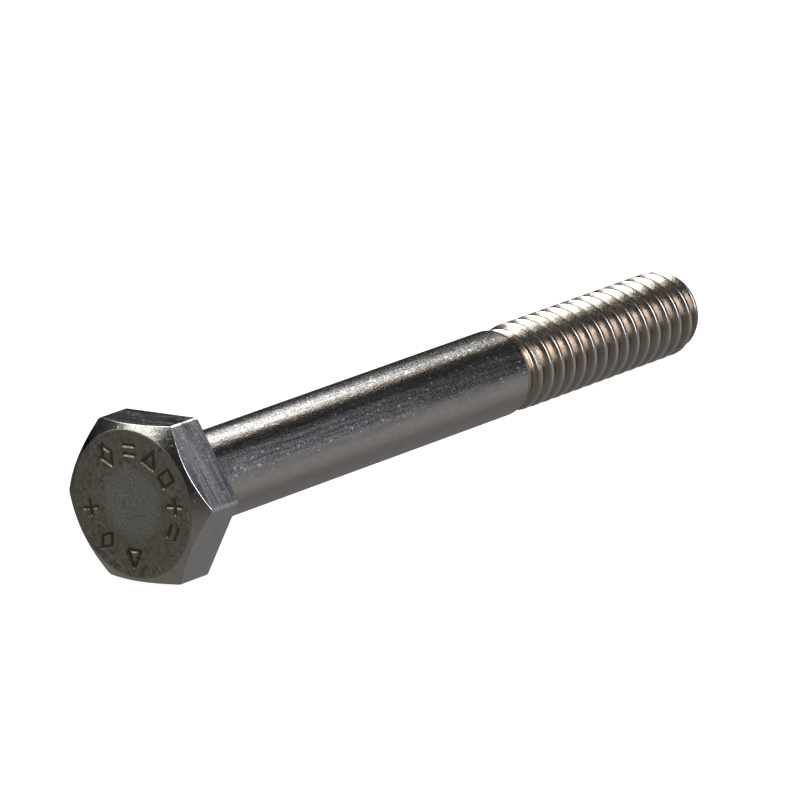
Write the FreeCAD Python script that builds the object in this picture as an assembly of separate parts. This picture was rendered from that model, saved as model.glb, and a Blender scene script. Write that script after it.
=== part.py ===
import FreeCAD, Part
import math
import os
from FreeCAD import Vector

# Hex cap screw, 1/4-20 UNC x 2-1/4, millimetres.
# The screw lies along +X with its head at -X and its point at +X. +Z is up, one hexagon flat faces
# down, and the origin is the centre of the bearing face under the head.

# Head
ACROSS_FLATS = 11.11
HEAD_HEIGHT = 3.96
CORNER_ROUND = 0.12
CROWN_RADIUS = 5.15
CROWN_ANGLE = math.radians(36)
CROWN_EDGE_ROUND = 0.18
DISH_RADIUS = 2.5
DISH_DEPTH = 0.09
WASHER_FACE_RADIUS = 5.28
WASHER_FACE_THICKNESS = 0.25
UNDERHEAD_FILLET = 0.45

# Stamped marks: nine plain shapes on a ring, with a gap in the ring. Each shape is a set of straight
# strokes, given by their ends as (distance outwards, distance along the ring) from the mark's middle.
MARK_RING_RADIUS = 3.8
MARK_DEPTH = 0.12
STROKE_WIDTH = 0.22
DIAMOND = (
    ((0.75, 0), (0, 0.48)),
    ((0, 0.48), (-0.75, 0)),
    ((-0.75, 0), (0, -0.48)),
    ((0, -0.48), (0.75, 0)),
)
TRIANGLE = (((0.65, 0), (-0.5, 0.55)), ((-0.5, 0.55), (-0.5, -0.55)), ((-0.5, -0.55), (0.65, 0)))
SQUARE = (
    ((0.55, -0.42), (0.55, 0.42)),
    ((0.55, 0.42), (-0.55, 0.42)),
    ((-0.55, 0.42), (-0.55, -0.42)),
    ((-0.55, -0.42), (0.55, -0.42)),
)
BARS = (((0.32, -0.45), (0.32, 0.45)), ((-0.32, -0.45), (-0.32, 0.45)))
CROSS = (((0.6, 0), (-0.6, 0)), ((0, 0.5), (0, -0.5)))
MARKS = (
    (122, DIAMOND),
    (90, BARS),
    (61, TRIANGLE),
    (34, SQUARE),
    (3.5, CROSS),
    (-25.5, BARS),
    (-92, TRIANGLE),
    (-131, DIAMOND),
    (-170, CROSS),
)

# Shank
SHANK_RADIUS = 3.15
SHOULDER_START = 36.1
NECK_START = 36.5
NECK_RADIUS = 2.95

# Thread, right hand
LENGTH = 57.15
PITCH = 1.27
CREST_RADIUS = 3.16
CREST_WIDTH = 0.17
ROOT_RADIUS = 2.4
FLANK_SLOPE = math.tan(math.radians(30))
# A crest passes the -Y side of the axis here
CREST_AT = 39.08
# The runout: the core falls from the neck to below the roots, while the crests rise to full height
CORE = ((NECK_START, NECK_RADIUS), (39.3, 2.2))
CREST_LIMIT = (
    (NECK_START, NECK_RADIUS),
    (37.6, 3.02),
    (38.9, 3.3),
    (55.3, 3.3),
    (56.5, 3.02),
    (57.0, 2.75),
    (LENGTH, 2.5),
)
BLEND = 0.07
ROWS_PER_TURN = 24


def revolved(outline):
    """A solid of revolution about the X axis from a closed outline of edges in the XZ plane."""
    return Part.Face(Part.Wire(outline)).revolve(Vector(0, 0, 0), Vector(1, 0, 0), 360)


def at(x, r):
    return Vector(x, 0, r)


def line(start, end):
    return Part.makeLine(at(*start), at(*end))


def arc(start, middle, end):
    return Part.Arc(at(*start), at(*middle), at(*end)).toShape()


def hexagon_prism():
    """The hexagon with flats facing up and down and slightly rounded corner edges."""
    radius = ACROSS_FLATS / math.sqrt(3)
    corners = []
    for i in range(6):
        angle = math.radians(60 * i)
        corners.append(Vector(-HEAD_HEIGHT, radius * math.cos(angle), radius * math.sin(angle)))
    face = Part.Face(Part.makePolygon(corners + [corners[0]]))
    prism = face.extrude(Vector(HEAD_HEIGHT - WASHER_FACE_THICKNESS, 0, 0))
    corner_edges = []
    for edge in prism.Edges:
        along_x = abs(edge.Vertexes[0].X - edge.Vertexes[1].X)
        if along_x > 1:
            corner_edges.append(edge)
    return prism.makeFillet(CORNER_ROUND, corner_edges)


def crown_envelope():
    """A flat round crown with a small rounded rim, and the cone that bevels the hexagon's corners."""
    top = -HEAD_HEIGHT
    outer = 7.5
    slope = math.tan(CROWN_ANGLE)
    back = math.tan(CROWN_ANGLE / 2) * CROWN_EDGE_ROUND
    centre = (top + CROWN_EDGE_ROUND, CROWN_RADIUS - back)
    half = CROWN_ANGLE / 2
    arc_start = (top, centre[1])
    arc_middle = (
        centre[0] - CROWN_EDGE_ROUND * math.cos(half),
        centre[1] + CROWN_EDGE_ROUND * math.sin(half),
    )
    arc_end = (
        centre[0] - CROWN_EDGE_ROUND * math.cos(CROWN_ANGLE),
        centre[1] + CROWN_EDGE_ROUND * math.sin(CROWN_ANGLE),
    )
    cone_end = (arc_end[0] + (outer - arc_end[1]) * slope, outer)
    outline = [
        line((top, 0), arc_start),
        arc(arc_start, arc_middle, arc_end),
        line(arc_end, cone_end),
        line(cone_end, (0, outer)),
        line((0, outer), (0, 0)),
        line((0, 0), (top, 0)),
    ]
    return revolved(outline)


def washer_face_and_fillet():
    """The round bearing face, and the fillet that runs from it down to the shank."""
    bore = -WASHER_FACE_THICKNESS - 0.5
    foot = SHANK_RADIUS + UNDERHEAD_FILLET
    bend = UNDERHEAD_FILLET * (1 - math.sqrt(0.5))
    outline = [
        line((bore, 0), (bore, WASHER_FACE_RADIUS)),
        line((bore, WASHER_FACE_RADIUS), (0, WASHER_FACE_RADIUS)),
        line((0, WASHER_FACE_RADIUS), (0, foot)),
        arc((0, foot), (bend, SHANK_RADIUS + bend), (UNDERHEAD_FILLET, SHANK_RADIUS)),
        line((UNDERHEAD_FILLET, SHANK_RADIUS), (UNDERHEAD_FILLET, 0)),
        line((UNDERHEAD_FILLET, 0), (bore, 0)),
    ]
    return revolved(outline)


def dish():
    """A shallow spherical hollow in the middle of the crown."""
    radius = (DISH_RADIUS**2 + DISH_DEPTH**2) / (2 * DISH_DEPTH)
    centre = Vector(-HEAD_HEIGHT + DISH_DEPTH - radius, 0, 0)
    return Part.makeSphere(radius, centre)


def stroke(start, end):
    """A straight groove with square ends, cut into the crown at -Y."""
    run = math.hypot(end[0] - start[0], end[1] - start[1])
    size = (1.0 + MARK_DEPTH, run + STROKE_WIDTH, STROKE_WIDTH)
    corner = Vector(-HEAD_HEIGHT - 1.0, -STROKE_WIDTH / 2, -STROKE_WIDTH / 2)
    groove = Part.makeBox(*size, corner)
    turn = math.degrees(math.atan2(end[1] - start[1], start[0] - end[0]))
    groove.rotate(Vector(0, 0, 0), Vector(1, 0, 0), turn)
    groove.translate(Vector(0, -MARK_RING_RADIUS - start[0], start[1]))
    return groove


def mark(strokes, angle):
    """One stamped mark. Angle 0 points to -Y and 90 degrees points up."""
    grooves = [stroke(start, end) for start, end in strokes]
    shape = grooves[0].multiFuse(grooves[1:])
    shape.rotate(Vector(0, 0, 0), Vector(1, 0, 0), -angle)
    return shape


def hex_head():
    body = hexagon_prism().common(crown_envelope())
    body = body.fuse(washer_face_and_fillet())
    body = body.cut(dish())
    for angle, strokes in MARKS:
        body = body.cut(mark(strokes, angle))
    return body.removeSplitter().Solids[0]


def shank():
    """The plain full-diameter body, with a rounded shoulder where the threaded part begins."""
    start = UNDERHEAD_FILLET
    drop = SHANK_RADIUS - NECK_RADIUS
    reach = NECK_START - SHOULDER_START
    middle = (SHOULDER_START + 0.66 * reach, SHANK_RADIUS - 0.3 * drop)
    outline = [
        line((start, 0), (start, SHANK_RADIUS)),
        line((start, SHANK_RADIUS), (SHOULDER_START, SHANK_RADIUS)),
        arc((SHOULDER_START, SHANK_RADIUS), middle, (NECK_START, NECK_RADIUS)),
        line((NECK_START, NECK_RADIUS), (NECK_START, 0)),
        line((NECK_START, 0), (start, 0)),
    ]
    return revolved(outline)


def between(x, points):
    """The radius at x on a line of straight segments."""
    for (x0, r0), (x1, r1) in zip(points, points[1:]):
        if x <= x1:
            return r0 + (r1 - r0) * (x - x0) / (x1 - x0)
    return points[-1][1]


def smooth_min(a, b, width):
    overlap = max(width - abs(a - b), 0) / max(width, 1e-9)
    return min(a, b) - overlap * overlap * width / 4


def thread_radius(x, full):
    """The radius at x of a helix that has this radius where the thread is complete."""
    width = max(min(BLEND, 0.3 * (x - NECK_START)), 0)
    raised = -smooth_min(-full, -between(x, CORE), width)
    return smooth_min(raised, between(x, CREST_LIMIT), width)


def helix_points(along, full):
    """Points down one helix, a set distance along the axis from the middle of the crest."""
    first = math.floor(((NECK_START - CREST_AT) / PITCH - 1.1) * ROWS_PER_TURN)
    last = math.ceil(((LENGTH - CREST_AT) / PITCH + 0.2) * ROWS_PER_TURN)
    points = []
    for row in range(first, last + 1):
        turn = row / ROWS_PER_TURN
        angle = 2 * math.pi * turn
        x = CREST_AT + PITCH * turn + along
        radius = thread_radius(min(max(x, NECK_START), LENGTH), full)
        points.append(Vector(x, -radius * math.cos(angle), -radius * math.sin(angle)))
    return points


def ribbon(start, end):
    """The ruled helical face between two helices, each given as (distance along, radius)."""
    poles = []
    for points in (helix_points(*start), helix_points(*end)):
        line_of_poles = []
        for a, b, c in zip(points, points[1:], points[2:]):
            line_of_poles.append((b * 8 - a - c) * (1 / 6))
        poles.append(line_of_poles)
    count = len(poles[0])
    surface = Part.BSplineSurface()
    surface.buildFromPolesMultsKnots(
        poles,
        [2, 2],
        [1] * (count + 4),
        [0.0, 1.0],
        [float(k) for k in range(count + 4)],
        False,
        False,
        1,
        3,
    )
    surface.segment(0.0, 1.0, 3.0, float(count))
    return surface.toShape()


def thread():
    """The threaded part: crest, flank, root and flank ribbons, cut off square at both ends."""
    crest = CREST_WIDTH / 2
    root = crest + (CREST_RADIUS - ROOT_RADIUS) * FLANK_SLOPE
    helices = [
        (-crest, CREST_RADIUS),
        (crest, CREST_RADIUS),
        (root, ROOT_RADIUS),
        (PITCH - root, ROOT_RADIUS),
        (PITCH - crest, CREST_RADIUS),
    ]
    room = Part.makeBox(LENGTH - NECK_START, 20, 20, Vector(NECK_START, -10, -10))
    faces = []
    for start, end in zip(helices, helices[1:]):
        faces += ribbon(start, end).common(room).Faces
    discs = []
    for x in (NECK_START, LENGTH):
        rim = []
        for face in faces:
            for edge in face.Edges:
                if max(abs(v.X - x) for v in edge.Vertexes) < 1e-5:
                    rim.append(edge)
        discs.append(Part.Face(Part.Wire(Part.__sortEdges__(rim))))
    shell = Part.Shell(faces + discs)
    shell.sewShape()
    solid = Part.makeSolid(shell)
    if solid.Volume < 0:
        solid.reverse()
    return solid


os.makedirs("parts", exist_ok=True)
for name, shape in (("hex_head", hex_head()), ("shank", shank()), ("thread", thread())):
    shape.exportStep("parts/" + name + ".step")
    print(name, shape.isValid(), round(shape.Volume, 3), shape.BoundBox)
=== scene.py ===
import math

import bpy
import numpy as np
from mathutils import Matrix, Vector


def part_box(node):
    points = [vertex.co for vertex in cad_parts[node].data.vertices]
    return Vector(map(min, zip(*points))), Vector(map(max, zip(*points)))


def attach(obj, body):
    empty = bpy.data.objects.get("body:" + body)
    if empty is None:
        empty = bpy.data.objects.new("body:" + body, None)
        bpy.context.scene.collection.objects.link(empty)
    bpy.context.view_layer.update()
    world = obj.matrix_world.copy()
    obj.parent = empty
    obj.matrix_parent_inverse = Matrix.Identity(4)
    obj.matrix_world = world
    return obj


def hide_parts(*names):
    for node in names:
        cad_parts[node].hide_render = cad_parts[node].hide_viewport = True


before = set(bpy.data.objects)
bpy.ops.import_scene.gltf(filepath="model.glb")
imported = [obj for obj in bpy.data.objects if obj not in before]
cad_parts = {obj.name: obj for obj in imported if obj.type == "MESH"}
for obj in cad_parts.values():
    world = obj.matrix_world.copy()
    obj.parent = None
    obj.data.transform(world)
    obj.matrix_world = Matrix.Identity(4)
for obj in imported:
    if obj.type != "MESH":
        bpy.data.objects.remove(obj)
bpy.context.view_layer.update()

MM = 0.001
MICROMETRE = 1e-6

# ---------------------------------------------------------------------------------------------
# Sizes in millimetres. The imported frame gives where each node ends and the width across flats

head_low, head_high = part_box("hex_head")
shank_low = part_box("shank")[0]
thread_low, thread_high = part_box("thread")

CROWN_X = head_low[0] / MM
HALF_FLATS = head_high[2] / MM
SHANK_START = shank_low[0] / MM
NECK_START = thread_low[0] / MM
POINT_X = thread_high[0] / MM

# Mesh density: points round the shank and the thread, and the longest step along a profile
AROUND = 192
LONGEST_STEP = 0.16

# Hexagon: a small flat face trims each corner, with an arc on both sides of it
CORNER_FACE = 0.17
CORNER_EDGE = 0.1
CORNER_STEPS = 4
FLAT_STEPS = 78
CROWDING = 0.35

# Crown, cone and washer face. The crown lies a little low, so that its ripple and the lips of its
# marks stay under the head's real height
CROWN_RADIUS = 5.15
CROWN_SETBACK = 0.02
CROWN_EDGE = 4.7
CROWN_ANGLE = math.radians(36)
CROWN_RIPPLE = 0.004
DISH_RADIUS = 2.5
DISH_DEPTH = 0.09
DISH_POWER = 1.2
WASHER_RADIUS = 5.28
WASHER_THICKNESS = 0.25
WASHER_INSIDE = 3.77
FILLET_STEPS = 8

# Radius and steps of the head's edges: the crown's rim, the cone's outer edge, the back of the
# hexagon, the washer face's foot and its rim
HEAD_ARCS = ((0.24, 6), (0.075, 4), (0.06, 4), (0.04, 3), (0.05, 4))
ARC_SHARE = 0.45
ARC_GUARD = 0.04
# The profile's spans before the cone, and before the middle of the cone's outer edge
RIM_SPANS = 9
CONE_SPANS = 12

# Shank and neck
SHANK_RADIUS = 3.15
SHOULDER_START = 36.1
SHOULDER_STEPS = 10
NECK_RADIUS = 2.95
SHANK_SETBACK = 0.0035
SHANK_RIPPLE = 0.0012
RIPPLE_FADE = 0.5

# Thread. A crest passes the row of points at angle zero at CREST_AT
PITCH = 1.27
CREST_AT = 39.08
CREST_RADIUS = 3.155
CREST_HALF = 0.14
CREST_EASE = 0.085
ROOT_ROUND = 0.165
FLANK = math.tan(math.radians(30))
CORE = ((NECK_START, NECK_RADIUS), (39.3, 2.2))
CREST_LIMIT = (
    (NECK_START, NECK_RADIUS),
    (37.6, 3.02),
    (38.9, 3.3),
    (55.3, 3.3),
    (56.5, 3.02),
    (57.0, 2.75),
    (POINT_X, 2.5),
)
BLEND_WIDTH = 0.07
BLEND_GROWTH = 0.3
END_SNAP = 0.004
# Offsets along the axis from the middle of a crest, closest together where the form bends
HALF_FORM = (0, 0.08, 0.105, 0.128, 0.151, 0.175, 0.21, 0.24, 0.32, 0.4, 0.46, 0.505, 0.55, 0.595)

# Stamped marks: plain shapes of straight strokes, each at its own angle on a ring round the crown.
# A stroke's end is (outwards, along the ring) from the middle of its mark
MARK_RING_RADIUS = 3.8
MARK_DEPTH = 0.11
MARK_REACH = 1.3
STROKE_WIDTH = 0.3
STROKE_FLARE = 0.06
STROKE_SLOPE = 0.2
LIP_HEIGHT = 0.018
LIP_PLACE = 0.1
LIP_WIDTH = 0.06
DIAMOND = (
    ((0.75, 0), (0, 0.48)),
    ((0, 0.48), (-0.75, 0)),
    ((-0.75, 0), (0, -0.48)),
    ((0, -0.48), (0.75, 0)),
)
TRIANGLE = (((0.65, 0), (-0.5, 0.55)), ((-0.5, 0.55), (-0.5, -0.55)), ((-0.5, -0.55), (0.65, 0)))
SQUARE = (
    ((0.55, -0.42), (0.55, 0.42)),
    ((0.55, 0.42), (-0.55, 0.42)),
    ((-0.55, 0.42), (-0.55, -0.42)),
    ((-0.55, -0.42), (0.55, -0.42)),
)
BARS = (((0.32, -0.45), (0.32, 0.45)), ((-0.32, -0.45), (-0.32, 0.45)))
CROSS = (((0.6, 0), (-0.6, 0)), ((0, 0.5), (0, -0.5)))
MARKS = (
    (122, DIAMOND),
    (90, BARS),
    (61, TRIANGLE),
    (34, SQUARE),
    (3.5, CROSS),
    (-25.5, BARS),
    (-92, TRIANGLE),
    (-131, DIAMOND),
    (-170, CROSS),
)


# ---------------------------------------------------------------------------------------------
# Mesh helpers


def make_object(name, verts, faces, slots, face_slots, flat_faces=0):
    """A mesh object from vertices in millimetres, smooth-shaded but for its last flat_faces."""
    mesh = bpy.data.meshes.new(name)
    mesh.from_pydata([tuple(v * MM for v in p) for p in verts], [], faces)
    mesh.validate()
    obj = bpy.data.objects.new(name, mesh)
    bpy.context.collection.objects.link(obj)
    for material in slots:
        mesh.materials.append(material)
    mesh.polygons.foreach_set("material_index", face_slots)
    smooth_faces = len(mesh.polygons) - flat_faces
    mesh.polygons.foreach_set("use_smooth", [True] * smooth_faces + [False] * flat_faces)
    mesh.update()
    return obj


def tube_faces(rows, around):
    """Quads between rows of points, then fans that close both ends.

    The fans' centres are the two vertices that follow the last row.
    """
    faces = []
    for i in range(rows - 1):
        near, far = i * around, (i + 1) * around
        for j in range(around):
            k = (j + 1) % around
            faces.append((near + j, near + k, far + k, far + j))
    centre, last = rows * around, (rows - 1) * around
    for j in range(around):
        k = (j + 1) % around
        faces.append((centre, k, j))
        faces.append((centre + 1, last + j, last + k))
    return faces


def rounded(points, arcs):
    """A path of (x, r) corners, each inner corner replaced by an arc of its (radius, steps).

    A short straight step is kept on both sides of an arc, so that its shading stays on it.
    """
    out = [points[0]]
    for before, corner, after, (radius, steps) in zip(points, points[1:], points[2:], arcs):
        back, onward = np.subtract(before, corner), np.subtract(after, corner)
        back_length, onward_length = np.linalg.norm(back), np.linalg.norm(onward)
        back, onward = back / back_length, onward / onward_length
        half = math.acos(max(-1, min(1, float(back @ onward)))) / 2
        longest = ARC_SHARE * min(back_length, onward_length)
        reach = min(radius / math.tan(half), longest)
        radius = reach * math.tan(half)
        middle = (back + onward) / np.linalg.norm(back + onward)
        centre = corner + middle * radius / math.sin(half)
        start, end = corner + back * reach, corner + onward * reach
        turn = math.pi - 2 * half
        guard = min(ARC_GUARD, reach)
        out.append(tuple(start + back * guard))
        for i in range(steps + 1):
            t = i / steps
            from_start = (start - centre) * math.sin((1 - t) * turn) / math.sin(turn)
            from_end = (end - centre) * math.sin(t * turn) / math.sin(turn)
            out.append(tuple(centre + from_start + from_end))
        out.append(tuple(end + onward * guard))
    out.append(points[-1])
    return out


def waves(a, b, seed, size, octaves=3):
    """A smooth, repeatable ripple in two coordinates, about -1 to 1."""
    rng = np.random.default_rng(seed)
    total = np.zeros(np.broadcast(a, b).shape)
    weight = 0
    for octave in range(octaves):
        for _ in range(5):
            direction = rng.uniform(0, 2 * math.pi)
            phase = rng.uniform(0, 2 * math.pi)
            length = size / (1.9**octave) * rng.uniform(0.75, 1.3)
            across = a * math.cos(direction) + b * math.sin(direction)
            total += np.sin(2 * math.pi * across / length + phase) / (1.7**octave)
            weight += 0.5 / (1.7**octave)
    return total / weight


# ---------------------------------------------------------------------------------------------
# The head


def hexagon_stations():
    """Directions round the head and the trimmed hexagon's radius along each of them."""
    angles, radii = [], []
    half_face, edge = CORNER_FACE / 2, CORNER_EDGE
    tilt = math.radians(30)
    face_out = (HALF_FLATS - half_face / 2 - edge) / math.cos(tilt) + edge
    flat_end_out = face_out - edge + edge * math.cos(tilt)
    flat_end_across = half_face + edge * math.sin(tilt)
    reach = flat_end_out * math.sin(tilt) - flat_end_across * math.cos(tilt)
    corner = []
    for i in range(CORNER_STEPS + 1):
        turn = -tilt + tilt * i / CORNER_STEPS
        out = face_out - edge + edge * math.cos(turn)
        corner.append((out, edge * math.sin(turn) - half_face))
    mirrored = [(out, -across) for out, across in reversed(corner)]
    corner = [*corner, (face_out, 0), *mirrored]
    for side in range(6):
        flat = math.radians(60 * side + 30)
        for i in range(1, FLAT_STEPS):
            t = -1 + 2 * i / FLAT_STEPS
            along = reach * (CROWDING * math.sin(t * math.pi / 2) + (1 - CROWDING) * t)
            angles.append(flat + math.atan2(along, HALF_FLATS))
            radii.append(math.hypot(along, HALF_FLATS))
        for out, across in corner:
            angles.append(flat + tilt + math.atan2(across, out))
            radii.append(math.hypot(across, out))
    return np.array(angles), np.array(radii)


def stamped_depth(y, z):
    """How deep the stamped marks are at points of the crown, below zero on their raised lips."""
    depth = np.zeros_like(y)
    for degrees, strokes in MARKS:
        angle = math.radians(degrees)
        outwards = -y * math.cos(angle) + z * math.sin(angle) - MARK_RING_RADIUS
        along = y * math.sin(angle) + z * math.cos(angle)
        near = (np.abs(outwards) < MARK_REACH) & (np.abs(along) < MARK_REACH)
        p, q = outwards[near], along[near]
        distance = np.full(p.shape, np.inf)
        for (a0, b0), (a1, b1) in strokes:
            run = (a1 - a0) ** 2 + (b1 - b0) ** 2
            t = np.clip(((p - a0) * (a1 - a0) + (q - b0) * (b1 - b0)) / run, 0, 1)
            reach = np.hypot(p - a0 - t * (a1 - a0), q - b0 - t * (b1 - b0))
            distance = np.minimum(distance, reach)
        edge = np.clip((STROKE_WIDTH / 2 + STROKE_FLARE - distance) / STROKE_SLOPE, 0, 1)
        cut = MARK_DEPTH * edge * edge * (3 - 2 * edge)
        from_lip = (distance - STROKE_WIDTH / 2 - LIP_PLACE) / LIP_WIDTH
        depth[near] += cut - LIP_HEIGHT * np.exp(-(from_lip**2))
    return depth


def head_profile(outer):
    """The head's outline from the crown to the washer face, where the hexagon's radius is outer."""
    rim_x = CROWN_X + CROWN_SETBACK
    corners = (
        (rim_x, CROWN_EDGE),
        (rim_x, CROWN_RADIUS),
        (rim_x + (outer - CROWN_RADIUS) * math.tan(CROWN_ANGLE), outer),
        (-WASHER_THICKNESS, outer),
        (-WASHER_THICKNESS, WASHER_RADIUS),
        (0, WASHER_RADIUS),
        (0, WASHER_INSIDE),
    )
    return rounded(corners, HEAD_ARCS)


def build_head(materials):
    """The head as rings of points, from the crown's middle over the flats to the fillet's end."""
    angles, hexagon = hexagon_stations()
    count = len(angles)
    profiles = [head_profile(outer) for outer in hexagon]
    # a span has the same number of steps on every profile, enough for the longest of them
    divisions = []
    for i in range(len(profiles[0]) - 1):
        longest = max(math.dist(path[i], path[i + 1]) for path in profiles)
        divisions.append(max(1, math.ceil(longest / LONGEST_STEP)))
    columns = []
    for path in profiles:
        column = []
        for a, b, steps in zip(path, path[1:], divisions):
            for k in range(steps):
                t = k / steps
                column.append((a[0] + (b[0] - a[0]) * t, a[1] + (b[1] - a[1]) * t))
        column.append(path[-1])
        columns.append(column)

    rim_x = CROWN_X + CROWN_SETBACK
    crown_radii = [*np.linspace(0.12, 2.8, 22), *np.linspace(2.85, 4.66, 38)]
    rings = [[(rim_x, r)] * count for r in crown_radii]
    rings += [list(ring) for ring in zip(*columns)]
    fillet = SHANK_START
    for i in range(FILLET_STEPS + 1):
        turn = math.pi / 2 * i / FILLET_STEPS
        x = fillet - fillet * math.cos(turn)
        rings.append([(x, SHANK_RADIUS + fillet - fillet * math.sin(turn))] * count)

    shape = np.array(rings)
    x, r = shape[:, :, 0], shape[:, :, 1]
    y, z = r * np.cos(angles), r * np.sin(angles)
    on_crown = np.zeros(x.shape, bool)
    on_crown[: len(crown_radii)] = True
    dish = DISH_DEPTH * np.clip(1 - (r / DISH_RADIUS) ** 2, 0, 1) ** DISH_POWER
    stamped = np.where(on_crown, stamped_depth(y, z), 0)
    sunk = dish + stamped + CROWN_RIPPLE * waves(y, z, 3, 3.0)
    x = np.where(on_crown, np.maximum(x + sunk, CROWN_X), x)
    x[-1] = SHANK_START
    verts = list(zip(x.ravel(), y.ravel(), z.ravel()))
    verts += [(rim_x + DISH_DEPTH, 0, 0), (SHANK_START, 0, 0)]

    cone_start = len(crown_radii) + sum(divisions[:RIM_SPANS])
    flat_start = cone_start + sum(divisions[RIM_SPANS:CONE_SPANS])
    slots = [0] * cone_start * count
    slots += [1] * (flat_start - cone_start) * count
    slots += [2] * (len(rings) - 1 - flat_start) * count
    slots += [0, 2] * count
    head = make_object("bolt_head", verts, tube_faces(len(rings), count), materials, slots)
    groove = head.data.attributes.new("groove", "FLOAT", "POINT")
    groove.data.foreach_set("value", [*np.clip(stamped / MARK_DEPTH, 0, 1).ravel(), 0.0, 0.0])
    return head


# ---------------------------------------------------------------------------------------------
# The shank


def build_shank(material):
    """A barely rippled cylinder with a rounded shoulder down to the neck."""
    length = SHOULDER_START - SHANK_START
    steps = math.ceil(length / LONGEST_STEP)
    path = [(SHANK_START + length * (i / steps), SHANK_RADIUS) for i in range(steps + 1)]
    reach = NECK_START - SHOULDER_START
    drop = SHANK_RADIUS - NECK_RADIUS
    for i in range(1, SHOULDER_STEPS + 1):
        turn = math.pi / 2 * i / SHOULDER_STEPS
        path.append(
            (SHOULDER_START + reach * math.sin(turn), SHANK_RADIUS - drop * (1 - math.cos(turn)))
        )
    path = np.array(path)
    angles = np.arange(AROUND) * 2 * math.pi / AROUND
    x, r = path[:, :1], path[:, 1:]
    fade_in = np.clip((x - SHANK_START) / RIPPLE_FADE, 0, 1)
    fade_out = np.clip((SHOULDER_START - x) / RIPPLE_FADE, 0, 1)
    ripple = np.zeros((len(path), AROUND))
    rng = np.random.default_rng(8)
    for _ in range(14):
        turns = rng.integers(1, 9)
        wave = rng.uniform(6, 26)
        ripple += np.sin(turns * angles + 2 * math.pi * x / wave + rng.uniform(0, 6.28)) / turns
    r = r - SHANK_SETBACK + SHANK_RIPPLE * ripple * fade_in * fade_out
    r = np.minimum(r, SHANK_RADIUS)
    r[0] = SHANK_RADIUS
    r[-1] = NECK_RADIUS
    y, z = -r * np.cos(angles), -r * np.sin(angles)
    xs = np.broadcast_to(x, y.shape)
    verts = list(zip(xs.ravel(), y.ravel(), z.ravel()))
    verts += [(SHANK_START, 0, 0), (NECK_START, 0, 0)]
    faces = tube_faces(len(path), AROUND)
    return make_object("bolt_shank", verts, faces, [material], [0] * len(faces), 2 * AROUND)


# ---------------------------------------------------------------------------------------------
# The thread


def smooth_min(a, b, width):
    """The smaller of a and b, with a rounded bend where they are within width of each other."""
    overlap = np.maximum(width - np.abs(a - b), 0) / np.maximum(width, 1e-9)
    return np.minimum(a, b) - overlap * overlap * width / 4


def thread_form(along):
    """The radius of the full 60 degree form at an axial distance from the middle of a crest."""
    half = PITCH / 2
    offset = np.abs((along + half) % PITCH - half)
    sharp_root = CREST_RADIUS - (half - CREST_HALF) / FLANK
    flank = CREST_RADIUS - (offset - CREST_HALF) / FLANK
    from_root = np.minimum(half - offset, ROOT_ROUND)
    root = sharp_root + 2 * ROOT_ROUND - np.sqrt(ROOT_ROUND**2 - from_root**2)
    rounded_root = np.where(half - offset < ROOT_ROUND * math.cos(math.radians(30)), root, flank)
    return smooth_min(CREST_RADIUS, rounded_root, CREST_EASE)


def thread_radius(x, along):
    """The form, filled by the neck's core at its start and cut down at its crests at both ends."""
    width = np.clip(BLEND_GROWTH * (x - NECK_START), 0, BLEND_WIDTH)
    core = np.interp(x, *zip(*CORE))
    limit = np.interp(x, *zip(*CREST_LIMIT))
    radius = -smooth_min(-thread_form(along), -core, width)
    return smooth_min(radius, limit, width)


def build_thread(material):
    """Rows of points lie in planes through the axis; columns follow the helix all the way along.

    Points that fall beyond an end of the thread are one point of that end's rim.
    """
    form = [*HALF_FORM, PITCH / 2, *(PITCH - offset for offset in reversed(HALF_FORM[1:]))]
    per_pitch = len(form)
    first = math.floor((NECK_START - CREST_AT) / PITCH) - 1
    last = math.ceil((POINT_X - CREST_AT) / PITCH) + 1
    along = np.array([PITCH * pitch + offset for pitch in range(first, last) for offset in form])
    count = len(along)
    verts, ids = [], {}
    for j in range(AROUND):
        turn = j / AROUND
        angle = 2 * math.pi * turn
        x = CREST_AT + PITCH * turn + along
        x_inside = np.clip(x, NECK_START, POINT_X)
        r = thread_radius(x_inside, along + (x_inside - x))
        r = np.where(x <= NECK_START + END_SNAP, NECK_RADIUS, r)
        for m in range(count):
            low, high = x[m] <= NECK_START + END_SNAP, x[m] >= POINT_X - END_SNAP
            key = (j, "low") if low else (j, "high") if high else (j, m)
            if key not in ids:
                ids[key] = len(verts)
                px = NECK_START if low else POINT_X if high else x[m]
                verts.append((px, -r[m] * math.cos(angle), -r[m] * math.sin(angle)))
            ids[(j, m)] = ids[key]
    faces = []
    for j in range(AROUND):
        # the last row meets the first one a pitch further along
        k = (j + 1) % AROUND
        shift = per_pitch if k == 0 else 0
        for m in range(count - 1):
            n = m + shift
            a, b = ids[(j, m)], ids[(j, m + 1)]
            if n + 1 >= count:
                c = d = ids[(k, "high")]
            else:
                d, c = ids[(k, n)], ids[(k, n + 1)]
            corners = tuple(dict.fromkeys((d, c, b, a)))
            if len(corners) > 2:
                faces.append(corners)
    centre = len(verts)
    verts += [(NECK_START, 0, 0), (POINT_X, 0, 0)]
    for j in range(AROUND):
        k = (j + 1) % AROUND
        faces.append((centre, ids[(k, "low")], ids[(j, "low")]))
        faces.append((centre + 1, ids[(j, "high")], ids[(k, "high")]))
    return make_object("bolt_thread", verts, faces, [material], [0] * len(faces), 2 * AROUND)


# ---------------------------------------------------------------------------------------------
# Material nodes. Sizes of patterns are in millimetres along x, y and z


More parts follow.
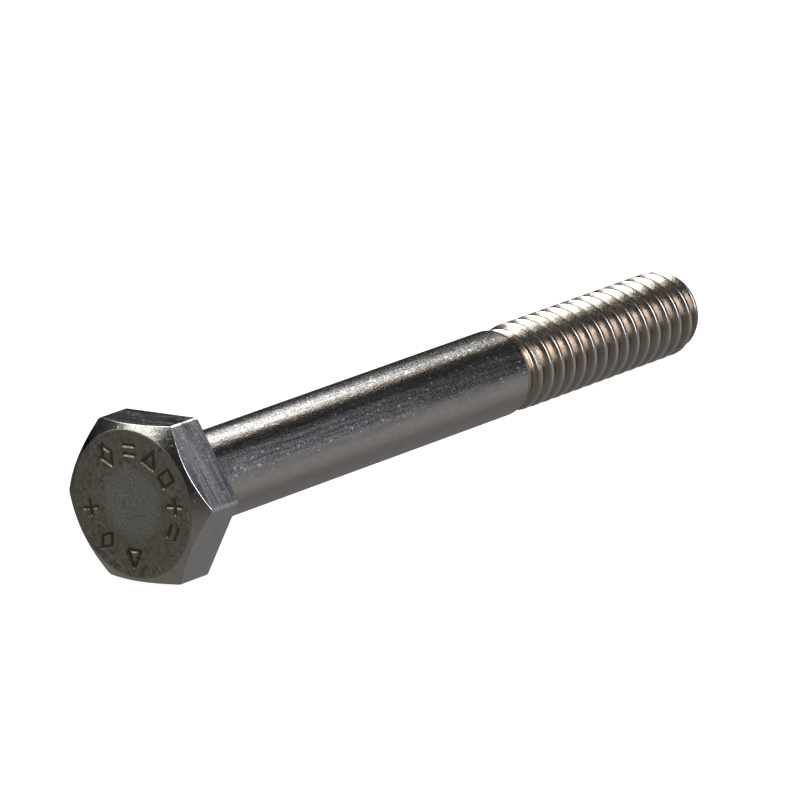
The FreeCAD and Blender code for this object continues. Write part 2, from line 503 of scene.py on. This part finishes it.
def node(tree, kind, inputs=None, **settings):
    """A new node with its settings, and each input set to a value or linked to a socket."""
    made = tree.nodes.new(kind)
    for key, value in settings.items():
        setattr(made, key, value)
    for key, value in (inputs or {}).items():
        if isinstance(value, bpy.types.NodeSocket):
            tree.links.new(value, made.inputs[key])
        else:
            made.inputs[key].default_value = value
    return made


def alike(size):
    """The same size along x, y and z."""
    return (size, size, size)


def stretched(tree, place, size):
    scale = tuple(1 / (s * MM) for s in size)
    return node(tree, "ShaderNodeMapping", {"Vector": place, "Scale": scale}).outputs[0]


def noise(tree, place, size, detail):
    inputs = {
        "Vector": stretched(tree, place, size),
        "Scale": 1.0,
        "Detail": detail,
        "Roughness": 0.55,
    }
    return node(tree, "ShaderNodeTexNoise", inputs).outputs["Fac"]


def remap(tree, value, low, high, to_low, to_high):
    """The value's range low to high carried to another range, and held at its ends."""
    inputs = {"Value": value, 1: low, 2: high, 3: to_low, 4: to_high}
    return node(tree, "ShaderNodeMapRange", inputs, clamp=True).outputs[0]


def mix_colour(tree, factor, a, b):
    inputs = {0: factor, 6: a, 7: b}
    return node(tree, "ShaderNodeMix", inputs, data_type="RGBA").outputs[2]


def from_axis(tree, place):
    """Distance from the bolt's axis, in millimetres."""
    across = node(
        tree, "ShaderNodeVectorMath", {0: place, 1: (0, 1 / MM, 1 / MM)}, operation="MULTIPLY"
    ).outputs[0]
    return node(tree, "ShaderNodeVectorMath", {0: across}, operation="LENGTH").outputs["Value"]


def upper_side(tree, place):
    """1 on the bolt's upper side, 0 below its middle."""
    height = node(tree, "ShaderNodeSeparateXYZ", {"Vector": place}).outputs["Z"]
    return remap(tree, height, -0.2 * MM, 0.8 * MM, 0, 1)


def mottled(tree, place, dark, light, size):
    """Two colours in soft patches of one size."""
    grain = remap(tree, noise(tree, place, size, 6.0), 0.3, 0.7, 0, 1)
    return mix_colour(tree, grain, (*dark, 1), (*light, 1))


def steel(name, roughness, bumps, colour_of):
    """Bare steel. roughness is its lowest and highest; bumps are (size, height in micrometres)."""
    material = bpy.data.materials.new(name)
    material.use_nodes = True
    tree = material.node_tree
    shader = tree.nodes["Principled BSDF"]
    shader.inputs["Metallic"].default_value = 1.0
    place = node(tree, "ShaderNodeTexCoord").outputs["Object"]
    tree.links.new(colour_of(tree, place), shader.inputs["Base Color"])
    rough = noise(tree, place, alike(0.45), 4.0)
    tree.links.new(remap(tree, rough, 0.3, 0.7, *roughness), shader.inputs["Roughness"])
    normal = None
    for size, height in bumps:
        inputs = {"Height": noise(tree, place, size, 3.0), "Distance": height * MICROMETRE}
        if normal:
            inputs["Normal"] = normal
        normal = node(tree, "ShaderNodeBump", inputs).outputs["Normal"]
    tree.links.new(normal, shader.inputs["Normal"])
    return material


# ---------------------------------------------------------------------------------------------
# Colours of the steel

# nicks painted near white: painted glints of dents catching the light
NICK_GLINT = (1.0, 0.99, 0.98, 1)
CROWN_PATCH = (0.4, 0.36, 0.3, 1)
CROWN_RIM = (0.4, 0.375, 0.335, 1)
# the stamped grooves' dark floor: painted shade
GROOVE_PAINTED_SHADE = (0.1, 0.09, 0.075, 1)
# the thread's copper-tinted root colour, darker than the flanks: painted shade in the groove
COPPER_ROOT_SHADE = (0.54, 0.39, 0.295, 1)
CREST_BRIGHT = (0.68, 0.655, 0.63, 1)


def crown_colour(tree, place):
    """A grained centre with a wavy edge, a browner ring, a plain rim, and dark stamped grooves."""
    radius = from_axis(tree, place)
    ripple = noise(tree, place, alike(1.6), 3.0)
    wavy = node(tree, "ShaderNodeMath", {0: radius, 1: ripple}, operation="ADD").outputs[0]
    outside = remap(tree, wavy, 2.65, 3.35, 0, 1)
    centre = mottled(tree, place, (0.27, 0.28, 0.24), (0.66, 0.66, 0.585), alike(0.13))
    fine = mottled(tree, place, (0.15, 0.132, 0.104), (0.56, 0.525, 0.46), alike(0.27))
    broad = remap(tree, noise(tree, place, alike(1.8), 2.0), 0.4, 0.6, 0, 0.6)
    ring = mix_colour(tree, broad, fine, CROWN_PATCH)
    colour = mix_colour(tree, outside, centre, ring)
    rim = remap(tree, radius, 5.0, 5.2, 0, 1)
    colour = mix_colour(tree, rim, colour, CROWN_RIM)
    # darker with the marks' depth: painted shade in the stamped grooves
    groove = node(tree, "ShaderNodeAttribute", attribute_name="groove").outputs["Fac"]
    return mix_colour(tree, remap(tree, groove, 0.1, 0.9, 0, 0.75), colour, GROOVE_PAINTED_SHADE)


def thread_colour(tree, place):
    """Copper-coloured roots, warm flanks, bright crests, and a grained face on the point."""
    radius = from_axis(tree, place)
    crest = remap(tree, radius, 2.98, 3.15, 0, 1)
    above_root = remap(tree, radius, 2.38, 2.8, 0, 1)
    # the flanks are painted darker on the lower side and lighter on the upper side: painted shade
    # below, painted light above
    low = mottled(tree, place, (0.38, 0.328, 0.282), (0.5, 0.435, 0.38), alike(0.4))
    high = mottled(tree, place, (0.5, 0.43, 0.37), (0.64, 0.565, 0.495), alike(0.4))
    flank = mix_colour(tree, upper_side(tree, place), low, high)
    # darker and copper-tinted towards the root; the darkening is painted shade in the groove
    colour = mix_colour(tree, above_root, COPPER_ROOT_SHADE, flank)
    colour = mix_colour(tree, crest, colour, CREST_BRIGHT)
    along = node(tree, "ShaderNodeSeparateXYZ", {"Vector": place}).outputs["X"]
    end_face = remap(tree, along, (POINT_X - 0.02) * MM, (POINT_X - 0.005) * MM, 0, 1)
    sheared = mottled(tree, place, (0.42, 0.4, 0.38), (0.78, 0.755, 0.73), alike(0.22))
    return mix_colour(tree, end_face, colour, sheared)


def scuffs_and_painted_light(smooth, dark, light, grain_size, streak_size, streak_share, smooth_share):
    """Steel with an even lower side, and a grainy, streaked upper side with bright nicks.

    smooth is the lower side's (dark, light, size); dark and light are the upper side's colours.
    The grain and streaks are the steel's own. The upper side's darker tone is painted shade, and
    the nicks' brightness is painted glints.
    """

    def colour(tree, place):
        grain = remap(tree, noise(tree, place, grain_size, 2.0), 0.33, 0.67, 0, 1)
        streaks = remap(tree, noise(tree, place, streak_size, 4.0), 0.37, 0.63, 0, 1)
        both = node(
            tree, "ShaderNodeMix", {0: streak_share, 2: grain, 3: streaks}, data_type="FLOAT"
        ).outputs[0]
        rough = mix_colour(tree, both, (*dark, 1), (*light, 1))
        cells = node(
            tree,
            "ShaderNodeTexVoronoi",
            {"Vector": stretched(tree, place, (0.75, 0.5, 0.5)), "Scale": 1.0},
        ).outputs["Distance"]
        # small cells painted near white: painted glints of nicks
        rough = mix_colour(tree, remap(tree, cells, 0.11, 0.22, 1, 0), rough, NICK_GLINT)
        # the upper side takes the darker grained colour, painted shade; the lower side takes the
        # even lighter one
        share = remap(tree, upper_side(tree, place), 0, 1, smooth_share, 1)
        return mix_colour(tree, share, mottled(tree, place, *smooth), rough)

    return colour


crown_steel = steel(
    "crown_steel", (0.36, 0.5), ((alike(0.5), 14.0), (alike(0.12), 7.0)), crown_colour
)
# the cone, the flats and the shank: steel grain and streaks, with painted shade on the upper side
# and painted glints
cone_steel = steel(
    "cone_steel",
    (0.18, 0.26),
    ((alike(0.3), 9.0), (alike(0.13), 7.0)),
    scuffs_and_painted_light(
        smooth=((0.57, 0.515, 0.455), (0.66, 0.605, 0.54), alike(0.6)),
        dark=(0.25, 0.24, 0.22),
        light=(0.48, 0.455, 0.42),
        grain_size=alike(0.14),
        streak_size=alike(0.5),
        streak_share=0.38,
        smooth_share=0.1,
    ),
)
flat_steel = steel(
    "flat_steel",
    (0.13, 0.21),
    (((0.3, 3.0, 3.0), 10.0), (alike(0.16), 9.0)),
    scuffs_and_painted_light(
        smooth=((0.67, 0.655, 0.65), (0.77, 0.755, 0.75), (0.6, 1.4, 1.4)),
        dark=(0.18, 0.176, 0.2),
        light=(1.0, 0.985, 1.0),
        grain_size=alike(0.15),
        streak_size=(0.42, 6.0, 6.0),
        streak_share=0.66,
        smooth_share=0.1,
    ),
)
shank_steel = steel(
    "shank_steel",
    (0.17, 0.25),
    (((0.6, 0.4, 0.4), 11.0), ((0.2, 0.14, 0.14), 12.0), ((4.0, 0.12, 0.12), 3.0)),
    scuffs_and_painted_light(
        smooth=((0.52, 0.492, 0.488), (0.6, 0.569, 0.565), (0.8, 0.5, 0.5)),
        dark=(0.12, 0.116, 0.122),
        light=(0.62, 0.602, 0.6),
        grain_size=(0.16, 0.13, 0.13),
        streak_size=(3.5, 0.18, 0.18),
        streak_share=0.38,
        smooth_share=0.04,
    ),
)
thread_steel = steel(
    "thread_steel",
    (0.18, 0.28),
    (((0.15, 0.25, 0.25), 9.0), ((0.07, 0.5, 0.5), 2.0)),
    thread_colour,
)

# ---------------------------------------------------------------------------------------------
# The bolt: each piece stands for one CAD node of the same rigid body

head = build_head([crown_steel, cone_steel, flat_steel])
shank = build_shank(shank_steel)
thread = build_thread(thread_steel)
for piece, cad_node, slot in (
    (head, "hex_head", "head_steel"),
    (shank, "shank", "shank_steel"),
    (thread, "thread", "thread_steel"),
):
    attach(piece, "root")
    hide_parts(cad_node)


# ---------------------------------------------------------------------------------------------
# Camera: a long lens that sees the bolt from its head, a little above. Its azimuth and elevation
# are taken from the point it aims at, in millimetres, and it rolls a little about its line of sight

CAMERA_AIM = (27.126, 1.32, 0)
CAMERA_DISTANCE = 645.75
CAMERA_AZIMUTH = math.radians(-140.726)
CAMERA_ELEVATION = math.radians(13.822)
CAMERA_ROLL = math.radians(-3.504)

camera_data = bpy.data.cameras.new("camera")
camera = bpy.data.objects.new("camera", camera_data)
bpy.context.collection.objects.link(camera)
camera_data.sensor_width = 36.0
camera_data.lens = 411.16
camera_data.clip_start = 0.01
camera_data.clip_end = 50.0
camera.matrix_world = (
    Matrix.Translation(Vector(CAMERA_AIM) * MM)
    @ Matrix.Rotation(CAMERA_AZIMUTH + math.pi / 2, 4, "Z")
    @ Matrix.Rotation(math.pi / 2 - CAMERA_ELEVATION, 4, "X")
    @ Matrix.Rotation(CAMERA_ROLL, 4, "Z")
    @ Matrix.Translation(Vector((0, 0, CAMERA_DISTANCE * MM)))
)
bpy.context.scene.camera = camera

# ---------------------------------------------------------------------------------------------
# Floor: the bolt lies on a flat of its head and on its thread, so the floor slopes a little to it

RESTING_RADIUS = 3.16
FLOOR_REACH = 3.0

slope = math.asin((HALF_FLATS - RESTING_RADIUS) * MM / ((POINT_X - CROWN_X) * MM))
floor_mesh = bpy.data.meshes.new("floor")
floor = bpy.data.objects.new("floor", floor_mesh)
bpy.context.collection.objects.link(floor)
floor_sides = ((-1, -1), (1, -1), (1, 1), (-1, 1))
floor_corners = [(a * FLOOR_REACH, b * FLOOR_REACH, 0) for a, b in floor_sides]
floor_mesh.from_pydata(floor_corners, [], [(0, 1, 2, 3)])
floor.matrix_world = Matrix.Translation(
    Vector((0, 0, -HALF_FLATS * MM))
) @ Matrix.Rotation(-slope, 4, "Y")
paper = bpy.data.materials.new("paper")
paper.use_nodes = True
paper_shader = paper.node_tree.nodes["Principled BSDF"]
paper_shader.inputs["Base Color"].default_value = (0.3, 0.3, 0.3, 1)
paper_shader.inputs["Roughness"].default_value = 0.9
paper_shader.inputs["Emission Color"].default_value = (1, 1, 1, 1)
paper_shader.inputs["Emission Strength"].default_value = 0.95
floor_mesh.materials.append(paper)
floor.visible_glossy = False

# ---------------------------------------------------------------------------------------------
# Surroundings: dim light that varies with direction, seen by the steel, and white for the camera

world = bpy.data.worlds.new("studio")
bpy.context.scene.world = world
world.use_nodes = True
tree = world.node_tree
background = tree.nodes["Background"]
direction = node(tree, "ShaderNodeTexCoord").outputs["Generated"]
dx, dy, dz = node(tree, "ShaderNodeSeparateXYZ", {"Vector": direction}).outputs


def math_node(operation, a, b=0.0):
    return node(tree, "ShaderNodeMath", {0: a, 1: b}, operation=operation).outputs[0]


def ramp_between(value, low, high):
    """0 below low, 1 above high, smooth between."""
    inputs = {"Value": value, 1: low, 2: high, 3: 0.0, 4: 1.0}
    return node(tree, "ShaderNodeMapRange", inputs, interpolation_type="SMOOTHSTEP").outputs[0]


elevation = math_node("MULTIPLY", math_node("ARCSINE", dz), 180 / math.pi)
azimuth = math_node("MULTIPLY", math_node("ARCTAN2", dy, dx), 180 / math.pi)


def band(value, low, high, soft):
    """1 between low and high, with edges soft degrees wide."""
    rise = ramp_between(value, low - soft / 2, low + soft / 2)
    fall = ramp_between(value, high - soft / 2, high + soft / 2)
    return math_node("MULTIPLY", rise, math_node("SUBTRACT", 1.0, fall))


def patch(azimuths, elevations, softness, colour, strength):
    """Light from a range of directions, in degrees; a strength below zero takes light away."""
    across = band(azimuth, *azimuths, softness[0])
    upwards = band(elevation, *elevations, softness[1])
    scaled = math_node("MULTIPLY", math_node("MULTIPLY", across, upwards), strength)
    return node(tree, "ShaderNodeVectorMath", {0: colour, 3: scaled}, operation="SCALE").outputs[0]


PALE = (1.0, 0.97, 0.94)
ALL_ROUND = (-400, 400)
layers = [
    patch(ALL_ROUND, (-95, 2), (10, 10), PALE, 0.145),
    patch((8, 118), (-22, 8), (30, 14), PALE, -0.105),
    patch((-182, -112), (-24, 8), (20, 16), PALE, -0.05),
    patch((-62, -18), (-34, -4), (24, 20), (1.0, 0.98, 0.96), 0.13),
    patch(ALL_ROUND, (-95, 95), (10, 10), (1.0, 1.0, 1.0), 0.045),
]
total = layers[0]
for layer in layers[1:]:
    total = node(tree, "ShaderNodeVectorMath", {0: total, 1: layer}, operation="ADD").outputs[0]
tree.links.new(total, background.inputs["Color"])
background.inputs["Strength"].default_value = 1.0
white = node(tree, "ShaderNodeBackground", {"Color": (1, 1, 1, 1), "Strength": 1.0})
seen = node(tree, "ShaderNodeLightPath").outputs["Is Camera Ray"]
shown = node(tree, "ShaderNodeMixShader", {0: seen, 1: background.outputs[0], 2: white.outputs[0]})
tree.links.new(shown.outputs[0], tree.nodes["World Output"].inputs["Surface"])

# ---------------------------------------------------------------------------------------------
# Studio light: one large soft box overhead with a warm strip on its near edge, a stack of dim
# cool cards on the near side, and a pale fill behind them


def soft_box(name, corner, width, height, radiance, colour):
    """An area light from one corner, its width and its height, as vectors in millimetres.

    It shines against the direction of width x height.
    """
    light = bpy.data.lights.new(name, "AREA")
    light.shape = "RECTANGLE"
    across, up = Vector(width) * MM, Vector(height) * MM
    light.size, light.size_y = across.length, up.length
    light.energy = 4 * light.size * light.size_y * radiance
    light.color = colour
    lamp = bpy.data.objects.new(name, light)
    bpy.context.collection.objects.link(lamp)
    x_axis, y_axis = across.normalized(), up.normalized()
    turn = Matrix((x_axis, y_axis, x_axis.cross(y_axis))).transposed()
    centre = Vector(corner) * MM + across / 2 + up / 2
    lamp.matrix_world = Matrix.Translation(centre) @ turn.to_4x4()
    lamp.visible_camera = False


COOL = (0.86, 0.9, 1.0)
WARM = (1.0, 0.82, 0.58)
OVERHEAD_WHITE = (0.99, 1.0, 0.97)
soft_box("overhead", (-118, 22, 118), (286, 0, 0), (0, 100, 0), 2.7, OVERHEAD_WHITE)
soft_box("overhead_edge", (-60, 8, 118), (228, 0, 0), (0, 13, 0), 1.3, WARM)
soft_box("card_low", (-20, -110, -4), (160, 0, 0), (0, 0, 12), 0.52, COOL)
soft_box("card_middle", (-20, -110, 22), (164, 0, 0), (0, 0, 13), 0.64, COOL)
soft_box("card_high", (-20, -110, 52), (176, 0, 0), (0, 0, 16), 0.6, COOL)
soft_box("card_top", (-20, -104, 84), (184, 0, 0), (0, 24, 20), 0.3, COOL)
soft_box("fill", (-60, -150, 56), (145, 0, 0), (0, 0, 74), 3.9, PALE)
soft_box("fill_low", (-60, -152, 0), (145, 0, 0), (0, 0, 55), 1.6, PALE)

bpy.context.scene.view_settings.view_transform = "Standard"
